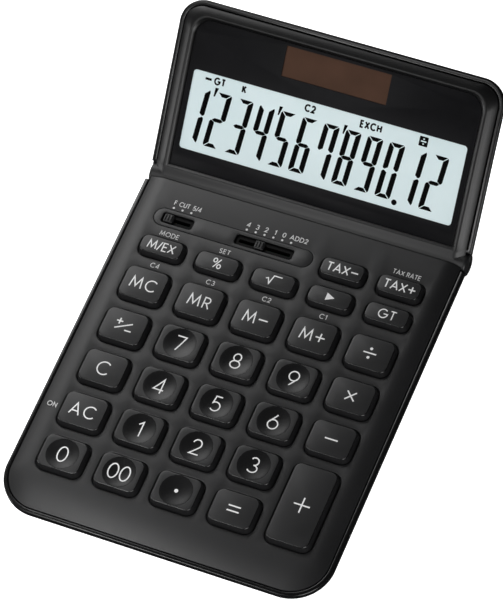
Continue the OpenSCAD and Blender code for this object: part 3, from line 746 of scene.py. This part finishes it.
def words(text, height, stroke=STROKE, gap=None, narrow=1.0):
    return lambda shape, z_at: print_text(shape, text, (0, 0), height, stroke, z_at, gap, narrow)


LEGENDS = {
    "key_mode": words("M/EX", 3.2, THIN, 0.26, 0.98), "key_percent": words("%", 3.7, THIN),
    "key_square_root": root_sign, "key_backspace": arrow_sign,
    "key_grand_total": words("GT", 3.3, THIN, 0.4),
    "key_tax_minus": word_and_sign("TAX", minus_sign, 3.2, 1.15, 0.08, 0.55),
    "key_tax_plus": word_and_sign("TAX", plus_sign, 3.2, 1.15, 0.08, 0.55),
    "key_memory_clear": words("MC", 4.2), "key_memory_recall": words("MR", 4.2),
    "key_memory_minus": word_and_sign("M", minus_sign, 4.2, 1.5),
    "key_memory_plus": word_and_sign("M", plus_sign, 4.2, 1.5),
    "key_divide": divide_sign, "key_sign_change": sign_change, "key_multiply": multiply_sign,
    "key_clear": words("C", 4.8), "key_all_clear": words("AC", 4.4),
    "key_minus": lambda shape, z_at: minus_sign(shape, 0, 0, 2.1, z_at),
    "key_plus": lambda shape, z_at: plus_sign(shape, 0, 0, 2.6, z_at),
    "key_equals": equals_sign, "key_00": words("00", 5.3, STROKE, 0.5),
    "key_point": lambda shape, z_at: dot(shape, 0, 0, 0.62, z_at),
}
for digit in "0123456789":
    LEGENDS["key_" + digit] = words(digit, 5.4)


def flat_top(x, y):
    return KEY_TOP_Z


def dished_top(x, y):
    return KEY_TOP_Z - dish_drop(math.hypot(x, y))


def build_keys():
    meshes = {}
    for node, at in sorted(KEYS.items()):
        w, d = key_size(node)
        dished = node in NUMBERS
        kind = (round(w, 2), round(d, 2), dished)
        if kind not in meshes:
            shape = build_key(w, d, dished)
            shape.merge(plunger())
            meshes[kind] = shape
        place = Matrix.Translation((at[0], at[1], 0))
        body = node + "_body"
        finishes = [KEY, DISH, KEY_EDGE]
        piece("cap_" + node[4:], meshes[kind], body, finishes, [node], place, sharp=34)
        ink = Shape()
        LEGENDS[node](ink, dished_top if dished else flat_top)
        piece("legend_" + node[4:], ink, body, [INK], place=place, sharp=20)


# ---------- deck print ----------

def column_x(c):
    return KEYS["key_8"][0] + (c - 2) * (KEYS["key_9"][0] - KEYS["key_8"][0])


def knob_steps():
    """Spacing of the switch positions, and the first position of each switch."""
    step = joint("rounding_switch_slide")["range_m"][1] / MM / 2
    low = joint("decimal_switch_slide")["range_m"][0] / MM
    first = centre_mm("rounding_switch_knob")[0]
    second = centre_mm("decimal_switch_knob")[0] + low
    return step, first, second


LABEL_H, LABEL_STROKE = 1.72, 0.24


def build_deck_print():
    shape = Shape()
    step, first, second = knob_steps()
    y0 = KEYS["key_0"][1]
    bezel_y = centre_mm("switch_bezel")[1]

    def deck(x, y):
        return DECK_Z

    def label(text, x, y, gap=0.26, narrow=1.0):
        print_text(shape, text, (x, y), LABEL_H, LABEL_STROKE, deck, gap, narrow)

    for x, count in ((first, 3), (second, 6)):
        for i in range(count):
            dot(shape, x + i * step, bezel_y + 3.95, 0.36, deck)
    row = bezel_y + 5.85
    for text, x in (("F", first - 0.1), ("CUT", first + step), ("5/4", first + 2 * step + 1.3)):
        label(text, x, row, narrow=0.86, gap=0.14)
    for i, text in enumerate("43210"):
        label(text, second + i * step, row)
    label("ADD2", second + 5 * step + 2.0, row)
    label("MODE", column_x(0), y0 + 82.2)
    label("SET", column_x(1), y0 + 82.2)
    label("TAX RATE", column_x(4), y0 + 92.6, gap=0.12, narrow=0.95)
    for i, text in enumerate(("C4", "C3", "C2", "C1")):
        label(text, column_x(i), y0 + 70.6)
    label("ON", column_x(0) - 10.9, KEYS["key_all_clear"][1])
    piece("deck_print", shape, "base", [SMALL_INK], sharp=20)


# ---------- switches ----------

SLOT_END, SLOT_HALF, SLOT_R, SLOT_LIP = 2.2, 1.8, 0.85, 0.3


def slot_rings(x0, x1, y):
    """Rings of a slot for a knob that goes from x0 to x1."""
    at, w = ((x0 + x1) / 2, y), x1 - x0 + 2 * SLOT_END
    return lambda g, z: rounded_ring(w + 2 * g, 2 * (SLOT_HALF + g), SLOT_R + g, z, at, 8, 8)


def build_bezel():
    """The switches' plate; each slot has a ledge and a narrow tunnel for the stem, with walls and floor
    coloured near-black as painted shade.
    """
    shape = Shape()
    step, first, second = knob_steps()
    y = centre_mm("switch_bezel")[1]
    bottom, floor = box_mm("switch_bezel")[0][2], DECK_Z - 0.9
    rim = [shape.add(at_height(bezel_outline(g), z)) for g, z in
           ((-0.2, DECK_Z), (-0.11, DECK_Z - 0.03), (-0.08, DECK_Z - 0.12), (-0.08, DECK_Z - 1.2),
            (0.8, DECK_Z - 1.2), (0.8, bottom))]
    for a, b in zip(rim, rim[1:]):
        shape.strip(a, b)
    tops, lows = [], []
    for x0, x1 in ((first, first + 2 * step), (second, second + 5 * step)):
        ring = slot_rings(x0, x1, y)
        ids = shape.loft([ring(way_in, DECK_Z - down) for way_in, down in fillet(4, SLOT_LIP)])
        # mark 1 puts the painted-shade colour on the slot's walls, its floor and the stem tunnel
        ids += shape.loft([ring(0, DECK_Z - SLOT_LIP), ring(0, floor)], mark=1)
        tops.append(ids[0])
        at, w, deep = ((x0 + x1) / 2, y), x1 - x0 + 2.3, bottom - 1.5
        stem = [rounded_ring(w + 2 * g, 1.2 + 2 * g, 0.3 + g, z, at, 4, 4) for g, z in
                ((0, floor), (0, deep), (0.45, deep), (0.45, bottom))]
        stem_ids = shape.loft(stem, mark=1)
        flat_between(shape, ids[-1], [stem_ids[0]], mark=1)
        lows.append(stem_ids[-1])
    flat_between(shape, rim[0], tops)
    flat_between(shape, rim[-1], lows)
    piece("switch_plate", shape, "base", [MATTE, SLOT_SHADE], ["switch_bezel"], sharp=50)


def build_knob(node, body, name):
    lo, hi = box_mm(node)
    at = ((lo[0] + hi[0]) / 2, (lo[1] + hi[1]) / 2)
    w, d, top = hi[0] - lo[0], hi[1] - lo[1], hi[2]
    floor, rib_h, round_r = DECK_Z - 0.8, 0.3, 0.35
    shape = Shape()
    rings = [rounded_ring(w, d, 0.5, floor, at)]
    for way_in, down in reversed(fillet(5, round_r)):
        z = top - rib_h - down
        rings.append(rounded_ring(w - 2 * way_in, d - 2 * way_in, 0.5 - way_in * 0.6, z, at))
    shape.solid(rings)
    for i in (-1, 0, 1):
        rib = [rounded_ring(0.42 - 2 * e, d - 0.7 - 2 * e, 0.2 - e * 0.9, z, (at[0] + i * 0.95, at[1]), 4, 2)
               for e, z in ((0, top - 0.5), (0, top - 0.14), (0.06, top - 0.04), (0.15, top))]
        shape.solid(rib)
    stem = [rounded_ring(1.8, 0.9, 0.15, z, at, 3, 2) for z in (lo[2], floor + 0.2)]
    shape.solid(stem)
    piece(name, shape, body, [KEY], [node], sharp=45)


# ---------- lower tray ----------

def rim_lip(z, y):
    """Glossy lip of a shell as (inset, height, end y), from its inner edge over the top and round."""
    inner = [(1.5, z - 0.3, y), (1.45, z - 0.13, y), (1.35, z - 0.04, y), (1.2, z, y)]
    return inner, [(way_in, z - down) for way_in, down in fillet(5, RIM_ROUND)]


def tray_section():
    """Wall of the base as (inset, z, rear y), from the floor inside, over the lip and down to the table."""
    lip_rear, floor_rear, waist = REAR_Y - 2.1, REAR_Y - 3.3, RIM_Z - 2
    inner, lip = rim_lip(RIM_Z, lip_rear)
    floor = [(6.9, SHELL_Z + 1.2, floor_rear), (1.6, RIM_Z - 1.5, floor_rear), (1.5, RIM_Z - 1.5, lip_rear)]
    wall = [(0, waist + 0.35), (0.03, waist + 0.12), (0.14, waist - 0.06), (0.34, waist - 0.24)]
    foot = [(5.0, SHELL_Z + 0.42), (5.35, SHELL_Z + 0.16), (5.8, SHELL_Z + 0.03), (6.4, SHELL_Z)]
    return floor + inner + [(i, z, lip_rear) for i, z in lip] + [(i, z, REAR_Y) for i, z in wall + foot]


def build_tray():
    shape = Shape()
    rings = [at_height(tongue_ring(HALF, FRONT_Y, CORNER_R, inset, y), z) for inset, z, y in tray_section()]
    shape.solid(rings)
    cutter = Shape()
    cutter.solid([hinge_ring(4.1, x, 64) for x in (-HALF - 1, HALF + 1)])
    for x, y in housing_bosses():
        cutter.merge(rod(x, y, 1.95, SHELL_Z - 1, SHELL_Z + 0.7))
    lo, hi = box_mm("rubber_feet")
    for x in (lo[0] + 4, hi[0] - 4):
        for y in (lo[1] + 4, hi[1] - 4):
            cutter.merge(rod(x, y, 4.05, SHELL_Z - 1, SHELL_Z + 0.3))
    lo, hi = box_mm("battery_door")
    w, d, at = hi[0] - lo[0] + 0.2, hi[1] - lo[1] + 0.2, centre_mm("battery_door")
    cutter.solid([rounded_ring(w, d, 2.1, z, at) for z in (SHELL_Z - 1, SHELL_Z + 0.65)])
    cutter.merge(rod(*centre_mm("battery_cell"), 6.0, SHELL_Z - 0.5, SHELL_Z + 2))
    piece("base_tray", shape, "base", [GLOSS], ["lower_housing"], cutter=cutter)
    inner = Shape()
    for x, y in housing_bosses():
        inner.merge(lathe([(0.95, SHELL_Z + 0.72), (0.95, 2.6), (2.2, 2.6), (2.2, SHELL_Z + 0.72)], (x, y)))
    for s in (-1, 1):
        inner.merge(hinge_arm(s * ARM_X))
    piece("base_bosses_and_arms", inner, "base", [GLOSS])


def rod(x, y, r, z0, z1, count=48):
    shape = Shape()
    shape.solid([circle_ring(r, z, (x, y), count) for z in (z0, z1)])
    return shape


def hinge_ring(r, x, count=48):
    return [(x, HINGE_Y + y, HINGE_Z + z) for y, z, _ in circle_ring(r, 0, count=count)]


def hinge_arm(x):
    """Disc on the hinge pin with an arm down to the base."""
    outer, bore, bevel, h = 2.55, 1.05, 0.15, 3.0
    shape = Shape()
    profile = [(bore, -h), (outer - bevel, -h), (outer, bevel - h)]
    profile += [(r, -e) for r, e in reversed(profile)]
    rings = [hinge_ring(r, x + e) for r, e in profile]
    shape.loft(rings + rings[:1])
    a = math.radians(210)
    way, side = Vector((math.cos(a), math.sin(a))), Vector((-math.sin(a), math.cos(a)))
    section = [way * r + side * s for r, s in ((2.2, -1), (2.2, 1), (5.0, 1), (5.0, -1))]
    shape.solid([[(x + e, HINGE_Y + p.x, HINGE_Z + p.y) for p in section] for e in (-h, h)])
    return shape


# ---------- display, in its own flat frame ----------

LENS_TOP = 2.6
LENS_HALF, LENS_Y0, LENS_Y1, LENS_R = 48.1, 4.4, 53.2, 5.4


def display_ring(inset, y0):
    return tongue_ring(HALF, DISPLAY_LEN, DISPLAY_R, inset, y0)


def lens_ring(grow, y0):
    return tongue_ring(LENS_HALF + grow, LENS_Y1 + grow, LENS_R + grow, 0, y0)


BAND_FOOT, BAND_TOP = 1.95, 3.435


def band_profile():
    """Frame round the lens: share of the way from its outer edge to the lens, and height."""
    rise = [(0.0, 1.75), (0.012, 1.86), (0.035, BAND_FOOT)]
    rise += [(0.035 + 0.515 * t, BAND_FOOT + 1.28 * t * (1.3 - 0.3 * t)) for t in
             [k / 8 for k in range(1, 9)]]
    ridge = [(0.58, 3.295), (0.61, 3.35), (0.65, 3.40), (0.69, 3.43), (0.73, BAND_TOP), (0.77, 3.40)]
    fall = [(0.81, 3.32), (0.85, 3.2), (0.90, 3.02), (0.95, 2.80), (0.985, 2.64), (1.0, 2.5)]
    return rise + ridge + fall


def build_display_frame():
    """The band round the lens, open at the hinge, and the strip and half barrel there."""
    shape = Shape()
    y0, seat, low = 4.15, 1.6, 1.1
    outer, inner, ledge = display_ring(RIM_W, y0), lens_ring(0.08, y0), lens_ring(-2.6, y0)
    rings = [at_height(outer, low)]
    rings += [at_height(mix_rings(outer, inner, s), w) for s, w in band_profile()]
    rings += [at_height(inner, seat), at_height(ledge, seat), at_height(ledge, low)]
    ids = shape.loft(rings + rings[:1], closed=False, mark=1)[:-1]
    for end in (0, -1):
        shape.face([ring[end] for ring in ids], mark=1)
    shape.merge(strip_and_barrel())
    return shape


def band_height(x):
    """Height of the side band's outer slope at x, which trims the ends of the hinge strip."""
    s = (HALF - RIM_W - abs(x)) / (HALF - RIM_W - LENS_HALF)
    table = band_profile()
    if s <= 0:
        return table[0][1]
    for (a, wa), (b, wb) in zip(table, table[1:]):
        if s <= b:
            return wa + (wb - wa) * (s - a) / (b - a)
        if b > 0.6:
            break
    return BAND_TOP


def half_arc(side, r, x, count):
    turn = [side * math.pi * i / count for i in range(count + 1)]
    return [(x, r * math.cos(a), r * math.sin(a)) for a in turn]


def half_barrel(side):
    """Half of the hinge barrel: side 1 is the frame's, side -1 the back cover's."""
    shape = Shape()
    count, half, bore, thick_end = 40, 54.0, 2.8, 1.2
    profile = [(e, r, 0.05) for e, r in ((0, 3.15), (0.08, 3.4), (0.25, 3.62), (0.55, 3.77), (0.8, BARREL_R),
                                         (thick_end, BARREL_R))] + [(thick_end, BARREL_R, bore)]
    stations = [(e - half, r, b) for e, r, b in profile]
    stations += [(-x, r, b) for x, r, b in reversed(stations)]

    ids = shape.loft([half_arc(side, r, x, count) + half_arc(side, b, x, count)[::-1]
                      for x, r, b in stations])
    for ring in (ids[0], ids[-1]):
        n = count + 1
        for i in range(count):
            shape.face((ring[i], ring[i + 1], ring[2 * n - 2 - i], ring[2 * n - 1 - i]))
    for s in (-1, 1):
        for d in (-1, 1):
            x = s * ARM_X + d * 4.7
            shape.solid([half_arc(side, 2.85, x + e, 24) for e in (-1.3, 1.3)])
    return shape


def strip_and_barrel():
    """Strip between barrel and lens; near the sides it dips under the slope of the band."""
    shape = Shape()
    top = [(0.0, BARREL_R), (0.5, 3.79), (1.0, 3.76), (1.8, 3.7), (2.6, 3.63), (3.4, 3.56), (3.9, 3.5),
           (4.15, 3.44), (4.35, 3.33), (4.6, 3.1), (4.85, 2.84), (4.97, 2.66), (5.0, 2.5)]
    low = [(5.0, 1.1), (2.8, 1.1), (2.2, 2.4), (0.0, 2.9)]
    rings = []
    xs = [HALF - e for e in (1.8, 1.95, 2.15, 2.5, 2.9, 3.4, 4.0, 4.7, 5.5)]
    for x in [-v for v in xs] + [0] + xs[::-1]:
        cap = band_height(x) + 0.04
        upper = [(x, v, min(w, cap + 0.25 * max(0, 1 - v / 2))) for v, w in top]
        rings.append(upper + [(x, v, min(w, cap - 0.3)) for v, w in low])
    shape.solid(rings)
    shape.merge(half_barrel(1))
    return shape


def notch_cutter():
    """Room for the base's arms and the ribbon at the barrel's underside."""
    shape = Shape()
    start, end, steps = 174 - TILT_DEG, 280 - TILT_DEG, 12
    wedge = arc(0, 0, 6, 6, start, end, (end - start) / steps)
    for x, reach in ((-ARM_X, 3.4), (ARM_X, 3.4), (0, 6.0)):
        shape.solid([[(x + e, 0, 0)] + [(x + e, y, z) for y, z in wedge] for e in (-reach, reach)])
    return shape


def build_back_cover():
    shape = Shape()
    top, waist, low = 1.8, 0.3, SHELL_Z - HINGE_Z
    inner_y, lip_y, rim_y, barrel_y = 5.4, 5.0, 4.2, 1.2
    inner, lip = rim_lip(top, lip_y)
    rim = lip + [(0, waist + 0.2), (0.02, waist + 0.02)]
    back = [(0.1, waist - 0.14), (0.3, waist - 0.32), (5.0, low + 0.38), (5.35, low + 0.15),
            (5.8, low + 0.03), (6.4, low)]
    section = [(6.9, low + 1.2, inner_y), (1.6, 0.8, inner_y), (1.5, 0.8, lip_y)] + inner
    section += [(i, z, rim_y) for i, z in rim] + [(i, z, barrel_y) for i, z in back]
    rings = [at_height(display_ring(inset, y), z) for inset, z, y in section]
    shape.solid(rings)
    shape.merge(half_barrel(-1))
    return shape


LCD_W, LCD_D, LCD_Y0 = 92.4, 25.8, 11.1
SOLAR_W, SOLAR_D, SOLAR_Y0 = 35.2, 9.8, 42.3


def build_lens():
    shape = Shape()
    rings = []
    for grow, w in ((0, LENS_TOP - 1), (0, LENS_TOP - 0.09), (-0.03, LENS_TOP - 0.03), (-0.09, LENS_TOP)):
        ring = tongue_ring(LENS_HALF + grow, LENS_Y1 + grow, LENS_R + grow, 0, LENS_Y0 + 0.62 - grow)
        rings.append(at_height(ring, w))
    shape.solid(rings)
    cutter = Shape()
    for w, d, y0, r in ((LCD_W, LCD_D, LCD_Y0, 1.2), (SOLAR_W, SOLAR_D, SOLAR_Y0, 0.15)):
        cutter.solid([rounded_ring(w + 0.1, d + 0.1, r, z, (0, y0 + d / 2), 6, 2) for z in (1, 4)])
    piece("screen_lens", shape, "display", [LENS], ["display_lens"], DISPLAY, cutter)


# ---------- LCD segments ----------

DIGIT_W, DIGIT_H, SEG_T, SLANT = 5.2, 17.9, 1.72, 0.088
MARK_H, MARK_STROKE = 2.55, 0.56
SEGMENTS = {"0": "abcdef", "1": "bc", "2": "abged", "3": "abgcd", "4": "fgbc", "5": "afgcd", "6": "afgedc",
            "7": "abcf", "8": "abcdefg", "9": "abcdfg"}


def segment_outlines():
    """The seven segments of an upright digit, each a closed outline."""
    w, h, t = DIGIT_W, DIGIT_H, SEG_T
    a = [(0.5, h), (w - 0.5, h), (w - t - 0.08, h - 1.25), (t + 0.08, h - 1.25)]
    m = h / 2
    g = [(0.75, m), (1.5, m + 0.6), (w - 1.5, m + 0.6), (w - 0.75, m), (w - 1.5, m - 0.6), (1.5, m - 0.6)]
    f = [(0.0, m + 0.75), (0.0, h - 0.95), (0.1, h - 0.5), (0.32, h - 0.17), (t, h - 1.5), (t, m + 0.85),
         (0.75, m + 0.16), (0.3, m + 0.28)]
    b = [(w - x, y) for x, y in f]
    outlines = {"a": a, "g": g, "f": f, "b": b}
    for low, high in (("d", "a"), ("e", "f"), ("c", "b")):
        outlines[low] = [(x, h - y) for x, y in outlines[high]]
    return outlines


def build_lcd_marks():
    shape = Shape()
    top = LENS_TOP - 0.15
    base_v, pitch, last_x = 13.75, 7.33, 34.6
    outlines = segment_outlines()

    def glass(x, v):
        return top

    def slanted(points, x0):
        return [(x0 + x + SLANT * v, base_v + v) for x, v in points]

    for k, char in enumerate("123456789012"):
        x0 = last_x - (11 - k) * pitch
        for name in SEGMENTS[char]:
            print_patch(shape, slanted(outlines[name], x0), glass)
        if k in (0, 3, 6):
            mark = [(1.2, 16.2), (1.65, 16.2), (2.25, 19.1), (1.1, 19.1)]
            print_patch(shape, slanted(mark, x0 + DIGIT_W), glass)
    dot(shape, last_x - 2 * pitch + DIGIT_W + 1.64, base_v - 0.4, 0.9, glass)
    for text, x, v in (("GT", -37.0, 34.9), ("K", -28.6, 34.8), ("C2", -6.1, 34.7), ("EXCH", 14.4, 34.6)):
        print_text(shape, text, (x, v), MARK_H, MARK_STROKE, glass, 0.3, 0.84)
    minus_sign(shape, -40.9, 34.9, 1.05, glass, 0.75)
    build_cell_mark(shape, 32.0, 34.6, top + INK_LIFT)
    piece("lcd_marks", shape, "display", [SEGMENT], place=DISPLAY, sharp=20)


def build_cell_mark(shape, x, v, z):
    """Small solid box with a bar and two dots left clear."""
    box = Shape()
    outer = box.add(rounded_ring(2.9, 3.1, 0.2, z, (x, v), 3, 2))
    clear = [box.add(rounded_ring(w, d, 0.1, z, (x, v + up), 3, 2)) for w, d, up in
             ((1.8, 0.42, 0), (0.5, 0.42, 0.78), (0.5, 0.42, -0.78))]
    flat_between(box, outer, clear)
    thicken(box, INK_LIFT + INK_SINK)
    shape.merge(box)


def build_display():
    piece("display_surround", build_display_frame(), "display", [MATTE, FRAME],
          ["display_frame"], DISPLAY, notch_cutter(), sharp=38)
    piece("display_shell", build_back_cover(), "display", [GLOSS],
          ["display_back_cover"], DISPLAY, notch_cutter())
    build_lens()
    build_lcd_marks()


# ---------- carried CAD nodes ----------

def dress_cad_nodes():
    for name, obj in frame["nodes"].items():
        mat = finish_of(name)
        if not obj.material_slots:
            obj.data.materials.append(mat)
        for holder in obj.material_slots:
            holder.material = mat


def finish_of(name):
    """Material of a CAD node: the first row whose word is in its name."""
    table = {"screw": STEEL, "hinge": STEEL, "ribbon": RIBBON, "wiper": CONTACT, "board": BOARD,
             "controller_chip": RESIN, "key_membrane": SILICONE, "battery_cell": CELL,
             "battery_contacts": CONTACT, "battery_door": GLOSS, "rubber_feet": RUBBER, "lcd_panel": LCD,
             "solar_cell": SOLAR, "lcd_connector_strip": RUBBER, "display_lens": LENS}
    return next((mat for word, mat in table.items() if word in name), MATTE)


# ---------- floor, light and camera ----------

def area_light(name, place, target, size, power):
    data = bpy.data.lights.new(name, "AREA")
    data.shape = "RECTANGLE"
    data.size, data.size_y = size
    data.energy = power
    light = bpy.data.objects.new(name, data)
    bpy.context.scene.collection.objects.link(light)
    light.location = place
    light.visible_camera = False
    light.rotation_euler = (Vector(target) - Vector(place)).to_track_quat("-Z", "Y").to_euler()


# Name, place in metres and power in watts; each one faces the origin.
SOFT_BOXES = (
    ("back_left", (-0.225, 0.247, 0.301), 0.445),
    ("left_high", (-0.283, 0.184, 0.298), 0.215),
    ("left_low", (-0.355, 0.142, 0.237), 0.167),
    ("front_high", (-0.135, -0.203, 0.378), 0.30),
    ("front_low", (-0.143, -0.363, 0.223), 0.029),
    ("right_low", (0.288, -0.311, 0.151), 0.95),
    ("left_flat", (-0.402, -0.197, 0.046), 0.61),
)


def build_floor():
    shape = Shape()
    corners = [(-3000, -3000), (3000, -3000), (3000, 3000), (-3000, 3000)]
    shape.solid([[(x, y, z) for x, y in corners] for z in (-10, 0)])
    floor = bpy.data.objects.new("floor", to_mesh(shape, "floor"))
    bpy.context.scene.collection.objects.link(floor)
    mat, tree, shader, where = new_material("floor_paper", (0.9, 0.9, 0.9), 0.9, 0.1)
    tree.links.new(ramp(tree, noise(tree, where, 3), (0.89, 0.89, 0.89), (0.91, 0.91, 0.91)),
                   shader.inputs["Base Color"])
    shader.inputs["Emission Color"].default_value = (1, 1, 1, 1)
    shader.inputs["Emission Strength"].default_value = 1.1
    floor.data.materials.append(mat)
    floor.visible_glossy = False


def build_world():
    world = bpy.data.worlds.new("studio")
    bpy.context.scene.world = world
    world.use_nodes = True
    world.node_tree.nodes["Background"].inputs["Color"].default_value = (1, 1, 1, 1)
    world.node_tree.nodes["Background"].inputs["Strength"].default_value = 0.02


def build_camera():
    data = bpy.data.cameras.new("camera")
    data.sensor_fit = "AUTO"
    data.sensor_width = 36
    data.lens = 240
    data.clip_end = 10
    camera = bpy.data.objects.new("camera", data)
    bpy.context.scene.collection.objects.link(camera)
    camera.location = (0.36669, -0.49733, 1.07720)
    camera.rotation_euler = [math.radians(a) for a in (29.3964, 7.8075, 22.8654)]
    bpy.context.scene.camera = camera


def build_studio():
    build_floor()
    build_world()
    for name, place, power in SOFT_BOXES:
        area_light(name, place, (0, 0, 0), (0.22, 0.22), power)
    front_edge = (0, FRONT_Y * MM, RIM_Z * MM)
    area_light("front_strip", (-0.040, -0.110, 0.120), front_edge, (0.12, 0.02), 0.06)
    build_camera()
    bpy.context.scene.view_settings.view_transform = "Standard"


piece("deck_cover", build_deck(), "base", [MATTE], ["upper_housing"], sharp=50)
build_keys()
build_bezel()
build_knob("rounding_switch_knob", "rounding_switch_slider", "rounding_knob")
build_knob("decimal_switch_knob", "decimal_switch_slider", "decimal_knob")
build_deck_print()
build_tray()
build_display()
dress_cad_nodes()
build_studio()
